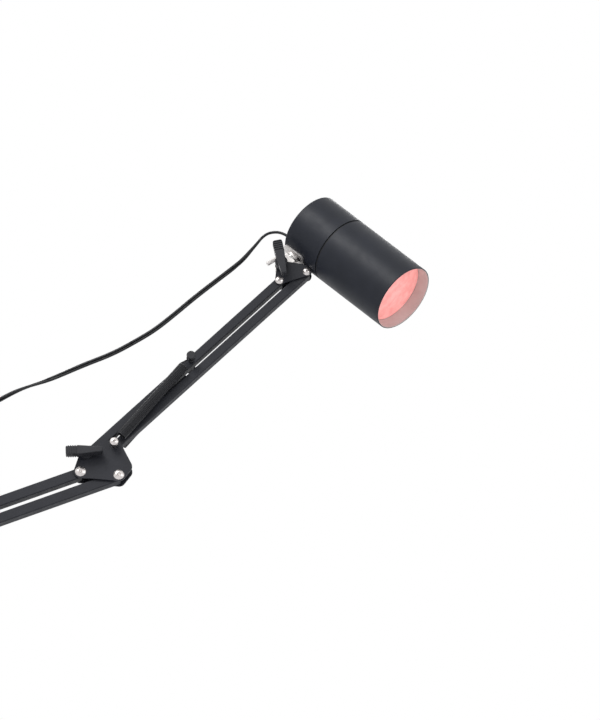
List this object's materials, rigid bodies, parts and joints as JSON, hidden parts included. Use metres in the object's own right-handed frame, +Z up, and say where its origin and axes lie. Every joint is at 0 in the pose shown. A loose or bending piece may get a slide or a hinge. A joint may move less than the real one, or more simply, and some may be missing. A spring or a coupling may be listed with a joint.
{
  "type": "heat lamp warmer",
  "caption": "Cylindrical red heat lamp on a spring-balanced parallelogram arm with wing knobs and a desk clamp.",
  "frame": {"origin": "on the desk's top face, in the axis of the vertical pin, at the clamp pad's underside", "axes": "+Z up along the pin, +X the way the arm reaches, -Y the side of the wing knobs"},
  "size_m": [0.8821, 0.1285, 0.621],
  "materials": {
    "black_enamel": "satin black powder coat",
    "black_satin": "satin black baked coat",
    "black_spring_steel": "black oxide, lightly oiled",
    "nickel": "satin nickel plate",
    "zinc_steel": "bright zinc plate",
    "black_knob": "moulded, fine grain",
    "nylon": "natural nylon",
    "black_fibre": "hard fibre washer",
    "black_screw": "black oxide",
    "black_rubber": "matt moulded rubber",
    "red_lens": "stippled red glass, lit from behind",
    "bulb_silver": "inside-silvered glass",
    "bulb_brass": "bright brass",
    "white_ceramic": "white porcelain",
    "lead_sleeve": "silicone sleeve",
    "black_cord": "smooth flexible sheath",
    "black_moulding": "moulded, fine grain",
    "black_rocker": "polished"
  },
  "bodies": {
    "clamp": {"jaw_pad": "black_rubber", "clamp_frame": "black_enamel", "swivel_washer": "nylon", "cord_coil": "black_cord", "cord_tail": "black_cord", "cord_tie": "black_cord", "switch_shells": "black_moulding", "plug_body": "black_moulding", "plug_blades": "bulb_brass"},
    "base_swivel": {"base_bracket": "black_enamel", "base_pin": "zinc_steel", "base_rivet": "nickel", "base_spring_bolt": "nickel", "base_washers": "black_fibre", "cord_base": "black_cord"},
    "lower_rear": {"lower_rear_bar": "black_enamel", "lower_spring_post": "black_spring_steel", "lower_springs": "black_spring_steel", "cord_lower": "black_cord"},
    "lower_front": {"lower_front_bar": "black_enamel"},
    "elbow": {"elbow_plates": "black_enamel", "elbow_rivets": "nickel", "elbow_spring_bolt": "nickel", "elbow_knob_bolt": "zinc_steel", "elbow_washers": "black_fibre", "cord_elbow": "black_cord"},
    "elbow_wing": {"elbow_knob": "black_knob"},
    "upper_rear": {"upper_rear_bar": "black_enamel", "upper_spring_post": "black_spring_steel", "upper_springs": "black_spring_steel", "cord_upper": "black_cord"},
    "upper_front": {"upper_front_bar": "black_enamel"},
    "head": {"head_plates": "black_enamel", "head_rivets": "nickel", "head_washers": "black_fibre", "tilt_bolt": "zinc_steel", "cord_head": "black_cord"},
    "tilt_wing": {"tilt_knob": "black_knob"},
    "tilt": {"tilt_block": "nickel", "swivel_stud": "zinc_steel", "swivel_fasteners": "zinc_steel", "cord_tilt": "black_cord"},
    "lamp": {"saddle_bracket": "nickel", "saddle_screws": "black_screw", "rear_cap": "black_satin", "joining_ring": "black_satin", "barrel": "black_satin", "bulb_lens": "red_lens", "bulb_envelope": "bulb_silver", "bulb_screw_cap": "bulb_brass", "lampholder": "white_ceramic", "holder_strap": "zinc_steel", "supply_leads": "lead_sleeve", "cord_gland": "black_rubber", "cord_lamp": "black_cord"},
    "thumbscrew": {"pin_thumbscrew": "zinc_steel"},
    "foot": {"clamp_foot": "black_enamel", "foot_pad": "black_rubber"},
    "screw": {"clamp_screw": "zinc_steel"},
    "rocker": {"switch_rocker": "black_rocker"}
  },
  "joints": [
    {"name": "base_turn", "type": "hinge", "parent": "clamp", "child": "base_swivel", "pos_m": [0, 0, 0.0425], "axis": [0, 0, 1], "range_deg": [-170, 170], "deforming": ["cord_base"]},
    {"name": "lower_arm_lift", "type": "hinge", "parent": "base_swivel", "child": "lower_rear", "pos_m": [-0.0214, 0, 0.062], "axis": [0, -1, 0], "range_deg": [-9, 88], "deforming": ["lower_springs", "cord_lower"]},
    {"name": "lower_front_follow", "type": "hinge", "parent": "base_swivel", "child": "lower_front", "pos_m": [0.0214, 0, 0.058], "axis": [0, -1, 0], "range_deg": [-9, 88]},
    {"name": "elbow_level", "type": "hinge", "parent": "lower_rear", "child": "elbow", "pos_m": [0.25811, 0, 0.17097], "axis": [0, -1, 0], "range_deg": [-88, 9], "deforming": ["cord_elbow"]},
    {"name": "elbow_knob_turn", "type": "hinge", "parent": "elbow", "child": "elbow_wing", "pos_m": [0.26461, -0.012, 0.19218], "axis": [0, -1, 0], "range_deg": [-150, 150]},
    {"name": "upper_arm_lift", "type": "hinge", "parent": "elbow", "child": "upper_rear", "pos_m": [0.26461, 0, 0.19218], "axis": [0, -1, 0], "range_deg": [-5, 85], "deforming": ["upper_springs", "cord_upper"]},
    {"name": "upper_front_follow", "type": "hinge", "parent": "elbow", "child": "upper_front", "pos_m": [0.29551, 0, 0.20297], "axis": [0, -1, 0], "range_deg": [-5, 85]},
    {"name": "head_level", "type": "hinge", "parent": "upper_rear", "child": "head", "pos_m": [0.47936, 0, 0.40692], "axis": [0, -1, 0], "range_deg": [-85, 5], "deforming": ["cord_head"]},
    {"name": "tilt_knob_turn", "type": "hinge", "parent": "head", "child": "tilt_wing", "pos_m": [0.48126, -0.012, 0.42602], "axis": [0, -1, 0], "range_deg": [-150, 150]},
    {"name": "lamp_tilt", "type": "hinge", "parent": "head", "child": "tilt", "pos_m": [0.48126, 0, 0.42602], "axis": [0, -1, 0], "range_deg": [0, 95], "deforming": ["cord_tilt"]},
    {"name": "lamp_swivel", "type": "hinge", "parent": "tilt", "child": "lamp", "pos_m": [0.48126, 0, 0.42602], "axis": [0.7096, 0, 0.7046], "range_deg": [-90, 90], "deforming": ["cord_lamp"]},
    {"name": "thumbscrew_turn", "type": "hinge", "parent": "clamp", "child": "thumbscrew", "pos_m": [0, -0.012, 0.024], "axis": [0, -1, 0], "continuous": true},
    {"name": "foot_slide", "type": "slide", "parent": "clamp", "child": "foot", "axis": [0, 0, 1], "range_m": [-0.025, 0.021]},
    {"name": "screw_turn", "type": "hinge", "parent": "foot", "child": "screw", "pos_m": [0, 0, -0.08], "axis": [0, 0, 1], "continuous": true},
    {"name": "rocker_press", "type": "hinge", "parent": "clamp", "child": "rocker", "pos_m": [-0.11, 0.047, 0.0133], "axis": [0, -1, 0], "range_deg": [0, 14]}
  ],
  "couplings": [
    {"joint": "lower_front_follow", "follows": "lower_arm_lift", "ratio": 1},
    {"joint": "elbow_level", "follows": "lower_arm_lift", "ratio": -1},
    {"joint": "upper_front_follow", "follows": "upper_arm_lift", "ratio": 1},
    {"joint": "head_level", "follows": "upper_arm_lift", "ratio": -1}
  ]
}
